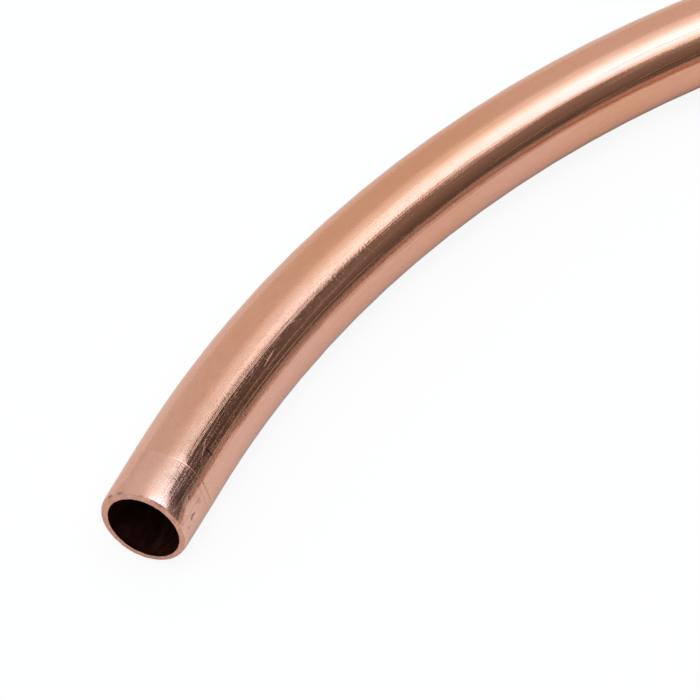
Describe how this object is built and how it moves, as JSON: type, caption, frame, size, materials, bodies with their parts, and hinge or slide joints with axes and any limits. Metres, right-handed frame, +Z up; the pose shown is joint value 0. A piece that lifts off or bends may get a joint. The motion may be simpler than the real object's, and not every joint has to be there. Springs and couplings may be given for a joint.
{
  "type": "copper tube coil",
  "caption": "Soft copper tube wound into a flat coil, its outer turn opened out, with hollow sized ends that push into fittings.",
  "frame": {"origin": "on the floor under the middle of the coil's bounding box", "axes": "+Z up, through the coil's flat thickness; +X along its longest width; the outer cut end points along -Y and the inner cut end along +Y"},
  "size_m": [0.461, 0.4068, 0.0159],
  "materials": {
    "copper": "bright drawn copper, lightly scratched and tarnished, darker inside the bore"
  },
  "bodies": {
    "root": {"copper_tube": "copper"}
  },
  "joints": []
}
